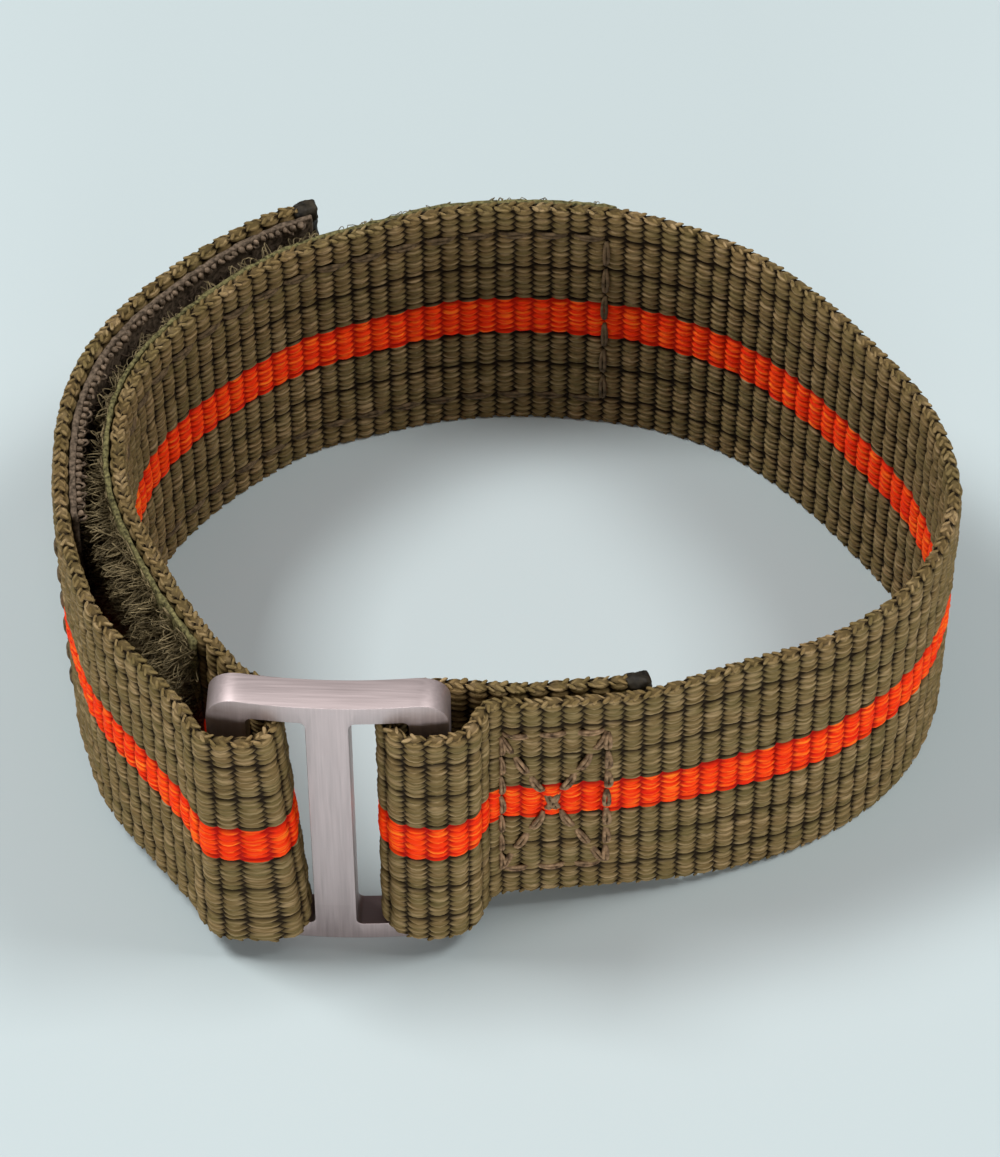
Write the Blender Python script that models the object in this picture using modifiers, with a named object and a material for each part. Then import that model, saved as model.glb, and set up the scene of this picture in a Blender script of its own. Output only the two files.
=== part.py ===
"""Hook and loop watch strap: ribbed nylon webbing, two-slot buckle, loop tape and hook tape.

The strap stands on its edge, closed as on a wrist. +Z is up, -Y is the side of the buckle,
and the origin is under the middle of the strap's box, on the surface that it stands on.
Run with: blender --background --python part.py
"""
import math

import bmesh
import bpy

# Driving sizes, in metres
webbing_width = 0.0200
webbing_thickness = 0.00115
webbing_edge_round = 0.00025
layer_gap = 0.0003
sewn_ply_gap = 0.00015

loop_half_width = 0.0290
loop_half_depth = 0.0235

buckle_thickness = 0.0022
buckle_corner_radius = 0.0020
buckle_edge_round = 0.0004
buckle_bow = 0.00035
side_bar_width = 0.0024
centre_bar_width = 0.0026
slot_width = 0.0036
slot_clearance = 0.0002
slot_corner_radius = 0.0004
end_bar_height = 0.0015

loop_tape_thickness = 0.0009
hook_tape_thickness = 0.0007
tape_inset = 0.0003
tape_edge_round = 0.00015
thread_radius = 0.00018
thread_gap = 0.0001
seam_end_inset = 0.0005

sewn_fold_slack = 0.0010
sliding_fold_side_slack = 0.00105
sliding_fold_front_slack = 0.00095
sliding_fold_radius = 0.0016
free_tail_gap = 0.00135
sealed_end_length = 0.0014
sealed_end_swell = 0.0002
hinge_gap = 0.0003

# The webbing climbs to the buckle, whose lower bar is below it
climb_start = 0.0340
climb_end = 0.0080

# Steps between points along the strap
long_step = 0.0022
fold_step = 0.0007

cutter_overrun = 0.0020
weld_distance = 0.000003

band_count = 7
hinge_end_sides = 6
tube_sides_resolution = 0
curve_pieces = 16
buckle_bow_pieces = 12
corner_arc_pieces = 3

# How far the cross's threads stand off the box's, as a share of the thread's radius
cross_lift = 0.35

# Edges bent by more than this many degrees are rounded
soft_edge_angle = 50.0

# Where the sewn fold clears the right bar's front corner, in webbing clearances
corner_clear_shares = (0.9, 0.5)

# Where the webbing turns into the left slot, in shares of its clearance beside the bar
slot_entry_shares = ((-0.5, 1.15), (0.72, 0.3))

# The buckle's middle, as shares of the loop's half width and half depth
buckle_place_shares = (-0.331, -0.876)

# The strap's centre line, from the buckle round by the right and the back to the left slot,
# as shares of the loop's half width and half depth
loop_line_shares = (
    (0.005, -0.812), (0.075, -0.787), (0.155, -0.768), (0.240, -0.747), (0.331, -0.724),
    (0.435, -0.692), (0.535, -0.648), (0.628, -0.598), (0.722, -0.532), (0.812, -0.446),
    (0.893, -0.335), (0.958, -0.183), (0.987, -0.004), (0.967, 0.170), (0.934, 0.291),
    (0.884, 0.395), (0.819, 0.505), (0.754, 0.610), (0.645, 0.752), (0.558, 0.842),
    (0.466, 0.908), (0.375, 0.951), (0.280, 0.981), (0.103, 1.004), (-0.031, 1.000), (-0.172, 0.974), (-0.331, 0.911),
    (-0.462, 0.847), (-0.559, 0.762), (-0.648, 0.660), (-0.731, 0.540), (-0.793, 0.417),
    (-0.831, 0.281), (-0.841, 0.149), (-0.834, 0.021), (-0.814, -0.106), (-0.776, -0.234),
    (-0.741, -0.319), (-0.703, -0.417), (-0.659, -0.515), (-0.607, -0.613),
    (-0.573, -0.667),
)

# Where things start and end along the loop line, as shares of its length
sewn_fold_end_share = 0.075
box_seam_shares = (0.004, 0.0545)
loop_tape_shares = (0.534, 0.992)
free_tail_share = 0.953
middle_hinge_share = 0.915
hook_tape_lower_share = 0.894
loose_start_share = 0.858
tip_hinge_share = 0.787
tail_tip_share = 0.675
tail_point_share = 0.024
direction_step_share = 0.006

# How far the upper edge stands in the +Y direction past the lower edge, in front and behind:
# shares of the loop's half width, each with a share of the webbing's width
front_lean_shares = ((-0.10, 0.0), (0.10, -0.050), (0.26, -0.050), (0.55, 0.015), (0.95, 0.0))
back_lean_shares = ((-0.43, 0.0), (-0.12, 0.025), (0.22, 0.025), (0.50, 0.006), (0.95, 0.0))

# Sizes that follow from the driving ones
half_thickness = webbing_thickness / 2.0
band_height = webbing_width / band_count
slot_height = webbing_width + 2.0 * slot_clearance
buckle_height = slot_height + 2.0 * end_bar_height
buckle_width = 2.0 * (side_bar_width + slot_width) + centre_bar_width
buckle_x = buckle_place_shares[0] * loop_half_width
buckle_y = buckle_place_shares[1] * loop_half_depth
side_bar_outer = buckle_width / 2.0
side_bar_inner = side_bar_outer - side_bar_width
side_bar_middle = side_bar_outer - side_bar_width / 2.0
side_bar_y = buckle_y + buckle_bow * (side_bar_middle / side_bar_outer) ** 2
webbing_lift = end_bar_height + slot_clearance
loop_tape_offset = half_thickness + layer_gap + loop_tape_thickness / 2.0
mated_offset = (webbing_thickness + 3.0 * layer_gap + loop_tape_thickness
                + hook_tape_thickness)
hook_tape_offset = half_thickness + layer_gap + hook_tape_thickness / 2.0
ply_offset = webbing_thickness + sewn_ply_gap
hinge_room = half_thickness + hinge_gap
webbing_clear = half_thickness + layer_gap
tape_width = webbing_width - 2.0 * tape_inset


def remove_everything():
    for thing in list(bpy.data.objects):
        bpy.data.objects.remove(thing, do_unlink=True)


def make_collection(name):
    collection = bpy.data.collections.new(name)
    bpy.context.scene.collection.children.link(collection)
    return collection


def make_material(name, colour, roughness, metallic=0.0):
    material = bpy.data.materials.new(name)
    material.use_nodes = True
    shader = material.node_tree.nodes["Principled BSDF"]
    shader.inputs["Base Color"].default_value = (*colour, 1.0)
    shader.inputs["Roughness"].default_value = roughness
    shader.inputs["Metallic"].default_value = metallic
    return material


# Lines in plan: lists of (x, y) points

def line_length(line):
    return sum(math.dist(a, b) for a, b in zip(line, line[1:]))


def even_line(line, step):
    """The same line with its points at equal steps of about the length given."""
    count = max(1, round(line_length(line) / step))
    return [point_at(line, k / count) for k in range(count + 1)]


def point_at(line, share):
    """The point at a share of the line's length."""
    left = share * line_length(line)
    for a, b in zip(line, line[1:]):
        piece = math.dist(a, b)
        if left <= piece:
            part = left / piece
            return (a[0] + (b[0] - a[0]) * part, a[1] + (b[1] - a[1]) * part)
        left -= piece
    return line[-1]


def part_of_line(line, start_share, end_share, step):
    """The stretch of a line between two shares of its length, at equal steps."""
    whole = line_length(line)
    count = max(1, round(abs(end_share - start_share) * whole / step))
    shares = [start_share + (end_share - start_share) * k / count for k in range(count + 1)]
    return [point_at(line, share) for share in shares]


def share_near(line, place):
    """The share of the line's length at which it comes nearest to a place."""
    nearest = min(range(len(line)), key=lambda k: math.dist(line[k], place))
    return line_length(line[:nearest + 1]) / line_length(line)


def smooth_line(points, step):
    """A smooth curve through the points, at equal steps."""
    before = tuple(2.0 * a - b for a, b in zip(points[0], points[1]))
    after = tuple(2.0 * a - b for a, b in zip(points[-1], points[-2]))
    knots = [before, *points, after]
    fine = []
    for p0, p1, p2, p3 in zip(knots, knots[1:], knots[2:], knots[3:]):
        t0 = 0.0
        t1 = t0 + math.sqrt(math.dist(p0, p1))
        t2 = t1 + math.sqrt(math.dist(p1, p2))
        t3 = t2 + math.sqrt(math.dist(p2, p3))
        for k in range(curve_pieces):
            t = t1 + (t2 - t1) * k / curve_pieces
            a1 = mixed(p0, p1, t0, t1, t)
            a2 = mixed(p1, p2, t1, t2, t)
            a3 = mixed(p2, p3, t2, t3, t)
            b1 = mixed(a1, a2, t0, t2, t)
            b2 = mixed(a2, a3, t1, t3, t)
            fine.append(mixed(b1, b2, t1, t2, t))
    fine.append(points[-1])
    return even_line(fine, step)


def mixed(a, b, start, end, t):
    part = (t - start) / (end - start)
    return (a[0] + (b[0] - a[0]) * part, a[1] + (b[1] - a[1]) * part)


def side_directions(line):
    """Unit vectors to the right of the line's direction, one for each point."""
    found = []
    for k in range(len(line)):
        a = line[max(k - 1, 0)]
        b = line[min(k + 1, len(line) - 1)]
        apart = math.dist(a, b)
        found.append(((b[1] - a[1]) / apart, (a[0] - b[0]) / apart))
    return found


def offset_line(line, away):
    """The line moved to its right by a distance, or by one distance for each point."""
    distances = away if isinstance(away, list) else [away] * len(line)
    return [(p[0] + n[0] * d, p[1] + n[1] * d)
            for p, n, d in zip(line, side_directions(line), distances)]


def arc_points(centre, radius, start_angle, end_angle, step):
    count = max(2, math.ceil(abs(end_angle - start_angle) * radius / step))
    angles = [start_angle + (end_angle - start_angle) * k / count for k in range(count + 1)]
    return [(centre[0] + radius * math.cos(a), centre[1] + radius * math.sin(a))
            for a in angles]


# The route of the webbing

def make_loop_line():
    points = [(a * loop_half_width, b * loop_half_depth) for a, b in loop_line_shares]
    return smooth_line(points, fold_step)


def make_sewn_fold(loop_line):
    """From the melted end, behind the right bar, round its slot side and out to the front."""
    radius = buckle_thickness / 2.0 + buckle_bow / 2.0 + layer_gap + half_thickness
    slot_side = buckle_x + side_bar_inner - sewn_fold_slack - half_thickness
    middle = (slot_side + radius, side_bar_y)
    inner_ply = part_of_line(loop_line, sewn_fold_end_share, 0.0, fold_step)
    inner_ply = offset_line(inner_ply, ply_offset)
    wrap = arc_points(middle, radius, math.pi / 2.0, 3.0 * math.pi / 2.0, fold_step)
    front = (buckle_x + side_bar_middle, side_bar_y - radius)
    beyond, before = corner_clear_shares
    round_corner = (buckle_x + side_bar_outer + beyond * webbing_clear,
                    side_bar_y - buckle_thickness / 2.0 - before * webbing_clear)
    rear = (buckle_x + side_bar_middle, side_bar_y + radius)
    fold = smooth_line([inner_ply[-1], rear, *wrap, front, round_corner, loop_line[0]],
                       fold_step)
    return inner_ply, fold


def beside_loop(share):
    """The tail's place outside a share of the loop line: close where the tapes hold it."""
    here = point_at(loop_line, share)
    ahead = point_at(loop_line, share - direction_step_share)
    away = side_directions([here, ahead])[0]
    loose = eased((share - loose_start_share) / (free_tail_share - loose_start_share))
    distance = mated_offset + free_tail_gap * loose
    return (here[0] - away[0] * distance, here[1] - away[1] * distance)


def make_tail_line():
    """Through the left slot from behind, round the left bar and back along the strap."""
    bar_slot_side = buckle_x - side_bar_inner
    clear = sliding_fold_side_slack + half_thickness
    front_y = side_bar_y - buckle_thickness / 2.0 - sliding_fold_front_slack - half_thickness
    rear_y = side_bar_y + buckle_thickness / 2.0
    turn = (bar_slot_side + clear - sliding_fold_radius, front_y + sliding_fold_radius)
    wrap = arc_points(turn, sliding_fold_radius, 0.0, -math.pi / 2.0, fold_step)
    lead_in = [(bar_slot_side + across * clear, rear_y + behind * clear)
               for across, behind in slot_entry_shares]
    lead_out = (buckle_x - side_bar_outer, front_y + layer_gap)
    root_hinge = (buckle_x - side_bar_outer - clear, side_bar_y)
    count = round((free_tail_share - tail_tip_share) / tail_point_share)
    spread = (free_tail_share - tail_tip_share) / count
    back = [beside_loop(free_tail_share - spread * k) for k in range(count + 1)]
    line = smooth_line([loop_line[-1], *lead_in, *wrap, lead_out, root_hinge, *back],
                       fold_step)
    return line, share_near(line, root_hinge)


def eased(part):
    """From 0 to 1 with a soft start and end."""
    part = min(1.0, max(0.0, part))
    return part * part * (3.0 - 2.0 * part)


def lift_at(x, y):
    """How far the webbing's lower edge is above the surface at a place."""
    away = math.dist((x, y), (buckle_x, buckle_y))
    return webbing_lift * (1.0 - eased((away - climb_end) / (climb_start - climb_end)))


def lean_at(x, y):
    """How far the webbing's upper edge stands in the +Y direction past its lower edge."""
    table = front_lean_shares if y < 0.0 else back_lean_shares
    across = x / loop_half_width
    lean = table[0][1]
    for (start, before), (end, after) in zip(table, table[1:]):
        lean += (after - before) * eased((across - start) / (end - start))
    return lean * webbing_width


def settled(x, y, z):
    """Where a point at a height on the upright webbing comes to be as the strap stands."""
    return (x, y + lean_at(x, y) * z / webbing_width, z + lift_at(x, y))


# Solids

def keep_mesh(maker, name, material, collection):
    """Replace a curve object by a mesh object of the same shape, its caps welded."""
    graph = bpy.context.evaluated_depsgraph_get()
    mesh = bpy.data.meshes.new_from_object(maker.evaluated_get(graph))
    made = bpy.data.objects.new(name, mesh)
    made.matrix_world = maker.matrix_world
    collection.objects.link(made)
    bpy.data.objects.remove(maker, do_unlink=True)
    shape = bmesh.new()
    shape.from_mesh(mesh)
    bmesh.ops.remove_doubles(shape, verts=shape.verts, dist=weld_distance)
    bmesh.ops.recalc_face_normals(shape, faces=shape.faces)
    shape.to_mesh(mesh)
    shape.free()
    mesh.materials.clear()
    mesh.materials.append(material)
    return made


def make_prism(name, outline, low, high, material, collection):
    """A closed outline in plan, raised from one height to another."""
    curve = bpy.data.curves.new(name, "CURVE")
    curve.dimensions = "2D"
    curve.fill_mode = "BOTH"
    curve.extrude = (high - low) / 2.0
    spline = curve.splines.new("POLY")
    spline.points.add(len(outline) - 1)
    for point, place in zip(spline.points, outline):
        point.co = (place[0] - box_middle[0], place[1] - box_middle[1], 0.0, 1.0)
    spline.use_cyclic_u = True
    maker = bpy.data.objects.new(f"{name}_maker", curve)
    maker.location.z = (high + low) / 2.0
    collection.objects.link(maker)
    bpy.context.view_layer.update()
    return keep_mesh(maker, name, material, collection)


def band_outline(line, thickness, round_start=False):
    """The plan outline of a band of even thickness, its start square or a half round."""
    right = offset_line(line, thickness / 2.0)
    left = offset_line(line, -thickness / 2.0)
    outline = right + left[::-1]
    if round_start:
        away = side_directions(line)[0]
        first = math.atan2(-away[1], -away[0])
        nose = arc_points(line[0], thickness / 2.0, first, first + math.pi,
                          math.pi * thickness / 2.0 / hinge_end_sides)
        outline += nose[1:-1]
    return outline


def settle_with_webbing(made):
    """Move each point as the webbing lifts and leans at its place."""
    for vertex in made.data.vertices:
        x, y, z = settled(vertex.co.x + box_middle[0], vertex.co.y + box_middle[1],
                          vertex.co.z + made.location.z)
        vertex.co = (x - box_middle[0], y - box_middle[1], z - made.location.z)


def soften_edges(made, width):
    bevel = made.modifiers.new("soft edges", "BEVEL")
    bevel.width = width
    bevel.segments = 1
    bevel.limit_method = "ANGLE"
    bevel.angle_limit = math.radians(soft_edge_angle)
    bevel.harden_normals = False


def colour_stripe(made, low, high, stripe_material):
    """Give the middle band's faces the stripe's colour."""
    shape = bmesh.new()
    shape.from_mesh(made.data)
    for height in (low, high):
        bmesh.ops.bisect_plane(
            shape, geom=[*shape.verts, *shape.edges, *shape.faces],
            plane_co=(0.0, 0.0, height - made.location.z), plane_no=(0.0, 0.0, 1.0))
    shape.to_mesh(made.data)
    shape.free()
    made.data.materials.append(stripe_material)
    for face in made.data.polygons:
        height = face.center.z + made.location.z
        face.material_index = int(low < height < high)


def make_webbing(name, line, round_start=False):
    outline = band_outline(line, webbing_thickness, round_start)
    made = make_prism(name, outline, 0.0, webbing_width, olive_nylon, parts)
    middle_band = (band_count - 1) / 2.0
    colour_stripe(made, middle_band * band_height, (middle_band + 1.0) * band_height,
                  orange_nylon)
    settle_with_webbing(made)
    soften_edges(made, webbing_edge_round)
    return made


def make_tape(name, line, thickness, material):
    outline = band_outline(line, thickness)
    made = make_prism(name, outline, tape_inset, tape_inset + tape_width, material, parts)
    settle_with_webbing(made)
    soften_edges(made, tape_edge_round)
    return made


def make_sealed_end(name, line):
    """The melted, slightly swollen end of the webbing."""
    outline = band_outline(line, webbing_thickness + sealed_end_swell)
    made = make_prism(name, outline, 0.0, webbing_width, melted_nylon, parts)
    settle_with_webbing(made)
    soften_edges(made, webbing_edge_round)
    return made


def make_thread(name, places, material, closed=True):
    """A thread through a list of (x, y, z) places."""
    curve = bpy.data.curves.new(name, "CURVE")
    curve.dimensions = "3D"
    curve.bevel_depth = thread_radius
    curve.bevel_resolution = tube_sides_resolution
    curve.use_fill_caps = not closed
    spline = curve.splines.new("POLY")
    spline.points.add(len(places) - 1)
    for point, place in zip(spline.points, places):
        x, y, z = settled(*place)
        point.co = (x - box_middle[0], y - box_middle[1], z, 1.0)
    spline.use_cyclic_u = closed
    maker = bpy.data.objects.new(f"{name}_maker", curve)
    parts.objects.link(maker)
    bpy.context.view_layer.update()
    return keep_mesh(maker, name, material, parts)


def seam_round_a_tape(line, low, high):
    """Places for a seam that runs along a tape's two edges and across its ends."""
    lower = [(x, y, low) for x, y in line]
    upper = [(x, y, high) for x, y in line[::-1]]
    return lower + upper


def make_box_seam(name, line, away, low, high):
    """The box and its cross, as one thread."""
    count = len(line) - 1
    over = offset_line(line, cross_lift * thread_radius * (1.0 if away > 0.0 else -1.0))
    rising = [(x, y, low + (high - low) * k / count) for k, (x, y) in enumerate(over)]
    falling = [(x, y, high - (high - low) * k / count) for k, (x, y) in enumerate(over)]
    box = make_thread(name, seam_round_a_tape(line, low, high), tan_thread)
    for number, diagonal in enumerate((rising, falling), start=1):
        cross = make_thread(f"{name}_diagonal_{number}", diagonal, tan_thread, closed=False)
        cross.hide_render = True
        cross.display_type = "WIRE"
        parts.objects.unlink(cross)
        cutters.objects.link(cross)
        join = box.modifiers.new(cross.name, "BOOLEAN")
        join.operation = "UNION"
        join.solver = "EXACT"
        join.object = cross
    return box


# The buckle

def rounded_rectangle(half_width, low, high, radius):
    corners = (
        ((half_width - radius, high - radius), 0.0),
        ((radius - half_width, high - radius), math.pi / 2.0),
        ((radius - half_width, low + radius), math.pi),
        ((half_width - radius, low + radius), 3.0 * math.pi / 2.0),
    )
    outline = []
    for middle, angle in corners:
        outline += arc_points(middle, radius, angle, angle + math.pi / 2.0,
                              math.pi / 2.0 * radius / corner_arc_pieces)
    return outline


def upright_prism(name, outline, x, thickness, collection):
    """A prism whose outline stands in the XZ plane, centred on the buckle's plate."""
    curve = bpy.data.curves.new(name, "CURVE")
    curve.dimensions = "2D"
    curve.fill_mode = "BOTH"
    curve.extrude = thickness / 2.0
    spline = curve.splines.new("POLY")
    spline.points.add(len(outline) - 1)
    for point, place in zip(spline.points, outline):
        point.co = (place[0], place[1], 0.0, 1.0)
    spline.use_cyclic_u = True
    maker = bpy.data.objects.new(f"{name}_maker", curve)
    maker.rotation_euler.x = math.pi / 2.0
    maker.location = (x - box_middle[0], buckle_y - box_middle[1], 0.0)
    collection.objects.link(maker)
    bpy.context.view_layer.update()
    return keep_mesh(maker, name, steel, collection)


def make_buckle():
    """A slightly bowed plate with two slots, its corners and edges rounded."""
    shares = [k / buckle_bow_pieces * 2.0 - 1.0 for k in range(buckle_bow_pieces + 1)]
    bowed = [(buckle_x + s * side_bar_outer, buckle_y + buckle_bow * s * s) for s in shares]
    outline = band_outline(bowed, buckle_thickness)
    buckle = make_prism("buckle_frame", outline, 0.0, buckle_height, steel, parts)
    deep = buckle_thickness + 2.0 * (buckle_bow + cutter_overrun)
    frame_outline = rounded_rectangle(side_bar_outer, 0.0, buckle_height,
                                      buckle_corner_radius)
    cutter = upright_prism("buckle_outline", frame_outline, buckle_x, deep, cutters)
    cut_with(buckle, cutter, "INTERSECT")
    slot_outline = rounded_rectangle(slot_width / 2.0, end_bar_height,
                                     end_bar_height + slot_height, slot_corner_radius)
    slot_middle = (centre_bar_width + slot_width) / 2.0
    for name, side in (("left_slot", -1.0), ("right_slot", 1.0)):
        cutter = upright_prism(name, slot_outline, buckle_x + side * slot_middle, deep,
                               cutters)
        cut_with(buckle, cutter, "DIFFERENCE")
    soften_edges(buckle, buckle_edge_round)
    return buckle


def cut_with(made, cutter, operation):
    cutter.hide_render = True
    cutter.display_type = "WIRE"
    cut = made.modifiers.new(cutter.name, "BOOLEAN")
    cut.operation = operation
    cut.solver = "EXACT"
    cut.object = cutter


# The strap

def stretch(line, start_share, end_share, start_room=0.0, end_room=0.0, step=long_step):
    """Part of a line, shortened at its ends by lengths."""
    whole = line_length(line)
    return part_of_line(line, start_share + start_room / whole,
                        end_share - end_room / whole, step)


def make_main_webbing():
    """The inner ply, the sewn fold, the loop and the sliding fold, in one length."""
    inner_run = stretch(inner_ply, 0.0, 1.0, sealed_end_length + layer_gap, 0.0)
    fold_end = stretch(tail_line, 0.0, root_hinge_share, 0.0, hinge_room, fold_step)
    line = (inner_run[:-1] + sewn_fold[:-1] + even_line(loop_line, long_step)[:-1]
            + fold_end)
    make_webbing("webbing_main", line)
    end_share = sealed_end_length / line_length(inner_ply)
    make_sealed_end("sealed_end_inside", part_of_line(inner_ply, 0.0, end_share, long_step))


def make_tail():
    """Three lengths, so that the tail can peel, each with a half round end on its hinge."""
    root_length = stretch(tail_line, root_hinge_share, middle_place_share, 0.0, hinge_room)
    middle_length = stretch(tail_line, middle_place_share, tip_place_share, 0.0, hinge_room)
    end_room = sealed_end_length + layer_gap
    make_webbing("webbing_tail_root", root_length, True)
    make_webbing("webbing_tail_middle", middle_length, True)
    make_webbing("webbing_tail_tip", stretch(tail_line, tip_place_share, 1.0, 0.0, end_room),
                 True)
    end_share = 1.0 - sealed_end_length / line_length(tail_line)
    make_sealed_end("sealed_end_tail", part_of_line(tail_line, end_share, 1.0, long_step))


def make_hook_tape():
    """The hook tape on the tail's inner side, parted where the tail bends."""
    lower = share_near(tail_line, beside_loop(hook_tape_lower_share))
    end_room = sealed_end_length + layer_gap
    lengths = (
        ("middle", stretch(tail_line, lower, tip_place_share, 0.0, hinge_room)),
        ("tip", stretch(tail_line, tip_place_share, 1.0, hinge_room, end_room)),
    )
    seam_offset = half_thickness + thread_radius + thread_gap
    for name, line in lengths:
        make_tape(f"hook_tape_{name}", offset_line(line, hook_tape_offset),
                  hook_tape_thickness, brown_hooks)
        seam_line = stretch(line, 0.0, 1.0, seam_end_inset, seam_end_inset)
        seam = seam_round_a_tape(offset_line(seam_line, -seam_offset), band_height,
                                 webbing_width - band_height)
        make_thread(f"hook_tape_seam_{name}", seam, tan_thread)


def make_loop_tape():
    """The loop tape on the strap's outside, and its seam, seen on the strap's inside."""
    line = stretch(loop_line, *loop_tape_shares)
    make_tape("loop_tape", offset_line(line, loop_tape_offset), loop_tape_thickness,
              green_pile)
    seam_line = stretch(line, 0.0, 1.0, seam_end_inset, seam_end_inset)
    seam_offset = half_thickness + thread_radius + thread_gap
    seam = seam_round_a_tape(offset_line(seam_line, -seam_offset), band_height,
                             webbing_width - band_height)
    make_thread("loop_tape_seam", seam, tan_thread)


def make_box_seams():
    """The box and cross that hold the two plies of the sewn fold."""
    line = part_of_line(loop_line, *box_seam_shares, long_step / 2.0)
    off_face = half_thickness + thread_radius + thread_gap
    for name, away in (("outer", off_face), ("inner", -(ply_offset + off_face))):
        make_box_seam(f"box_seam_{name}", offset_line(line, away), away, band_height,
                      webbing_width - band_height)


remove_everything()
parts = make_collection("hook_and_loop_watch_strap")
cutters = make_collection("cutters")

olive_nylon = make_material("olive nylon webbing", (0.165, 0.130, 0.070), 0.85)
orange_nylon = make_material("orange nylon stripe", (0.900, 0.090, 0.020), 0.75)
melted_nylon = make_material("melted nylon", (0.020, 0.019, 0.018), 0.45)
steel = make_material("satin stainless steel", (0.560, 0.530, 0.530), 0.35, 1.0)
green_pile = make_material("loop tape", (0.120, 0.110, 0.060), 0.95)
brown_hooks = make_material("hook tape", (0.110, 0.085, 0.070), 0.60)
tan_thread = make_material("tan thread", (0.300, 0.190, 0.120), 0.70)

loop_line = make_loop_line()
inner_ply, sewn_fold = make_sewn_fold(loop_line)
tail_line, root_hinge_share = make_tail_line()
middle_place_share = share_near(tail_line, beside_loop(middle_hinge_share))
tip_place_share = share_near(tail_line, beside_loop(tip_hinge_share))

# The middle of the strap's box in plan, which becomes the origin
reach = (offset_line(tail_line, -half_thickness) + offset_line(tail_line, half_thickness)
         + offset_line(sewn_fold, half_thickness) + offset_line(loop_line, half_thickness)
         + offset_line(stretch(loop_line, *loop_tape_shares),
                       loop_tape_offset + loop_tape_thickness / 2.0))
reach = [(settled(x, y, z)[0], settled(x, y, z)[1])
         for x, y in reach for z in (0.0, webbing_width)]
box_middle = tuple((min(p[axis] for p in reach) + max(p[axis] for p in reach)) / 2.0
                   for axis in (0, 1))

make_buckle()
make_main_webbing()
make_loop_tape()
make_box_seams()
make_tail()
make_hook_tape()
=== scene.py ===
import math
import random

import bpy
import numpy as np
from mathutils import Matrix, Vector


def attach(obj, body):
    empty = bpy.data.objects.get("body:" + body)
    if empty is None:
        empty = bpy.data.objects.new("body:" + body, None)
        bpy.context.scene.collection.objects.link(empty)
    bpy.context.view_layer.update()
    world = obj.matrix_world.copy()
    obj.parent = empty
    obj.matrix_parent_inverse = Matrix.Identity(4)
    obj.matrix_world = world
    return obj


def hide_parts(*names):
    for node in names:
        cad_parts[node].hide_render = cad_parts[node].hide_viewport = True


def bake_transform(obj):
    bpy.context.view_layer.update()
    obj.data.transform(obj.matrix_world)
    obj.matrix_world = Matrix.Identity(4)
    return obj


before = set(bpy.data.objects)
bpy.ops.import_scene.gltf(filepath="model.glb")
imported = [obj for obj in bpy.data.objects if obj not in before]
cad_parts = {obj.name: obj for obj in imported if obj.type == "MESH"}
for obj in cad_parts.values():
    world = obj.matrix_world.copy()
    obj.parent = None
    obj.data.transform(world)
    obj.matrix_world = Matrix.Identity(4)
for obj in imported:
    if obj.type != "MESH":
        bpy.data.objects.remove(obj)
bpy.ops.object.select_all(action="DESELECT")
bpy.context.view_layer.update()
random.seed(7)
dice = np.random.default_rng(7)
mm = 0.001
print("frame loaded:", len(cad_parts), "nodes")


def pick(*things):
    bpy.ops.object.select_all(action="DESELECT")
    for thing in things:
        thing.select_set(True)
    bpy.context.view_layer.objects.active = things[0]


def applyAll(thing):
    pick(thing)
    for modifier in list(thing.modifiers):
        bpy.ops.object.modifier_apply(modifier=modifier.name)


def placeInMesh(thing):  # the object goes to the origin, its place into its mesh
    pick(thing)
    bpy.ops.object.transform_apply(location=True, rotation=True, scale=True)


def places(thing):
    found = np.empty(len(thing.data.vertices) * 3)
    thing.data.vertices.foreach_get("co", found)
    return found.reshape(-1, 3)


def setPlaces(thing, new):
    thing.data.vertices.foreach_set("co", np.ascontiguousarray(new, dtype=float).ravel())
    thing.data.update()


def eased(part):
    part = np.clip(part, 0.0, 1.0)
    return part * part * (3.0 - 2.0 * part)


# The camera, at the photograph's angle

camera = {
    "aim": (-0.000294, -0.001163, 0.0100),
    "distance": 0.280,
    "azimuth": 2.0,
    "elevation": 50.0,
    "focalOverHeight": 4316.0 / 1157.0,
    "sensorHeight": 36.0,
    "clip": (0.01, 5.0),
}


def placeCamera():
    azimuth = math.radians(camera["azimuth"])
    elevation = math.radians(camera["elevation"])
    forward = Vector((-math.sin(azimuth) * math.cos(elevation),
                      math.cos(azimuth) * math.cos(elevation), -math.sin(elevation)))
    place = Vector(camera["aim"]) - forward * camera["distance"]
    bpy.ops.object.camera_add(location=place, rotation=forward.to_track_quat("-Z", "Y").to_euler())
    made = bpy.context.object
    made.name = "photoCamera"
    made.data.sensor_fit = "VERTICAL"
    made.data.sensor_height = camera["sensorHeight"]
    made.data.lens = camera["sensorHeight"] * camera["focalOverHeight"]
    made.data.clip_start, made.data.clip_end = camera["clip"]
    bpy.context.scene.camera = made


# The strap's route in plan, in millimetres: from the melted end on the inside, round the
# buckle's right bar, round the wrist, through the left slot and back outside to the tail's tip.
# What comes after the points is measured along the route, from the melted end inside.

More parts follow.
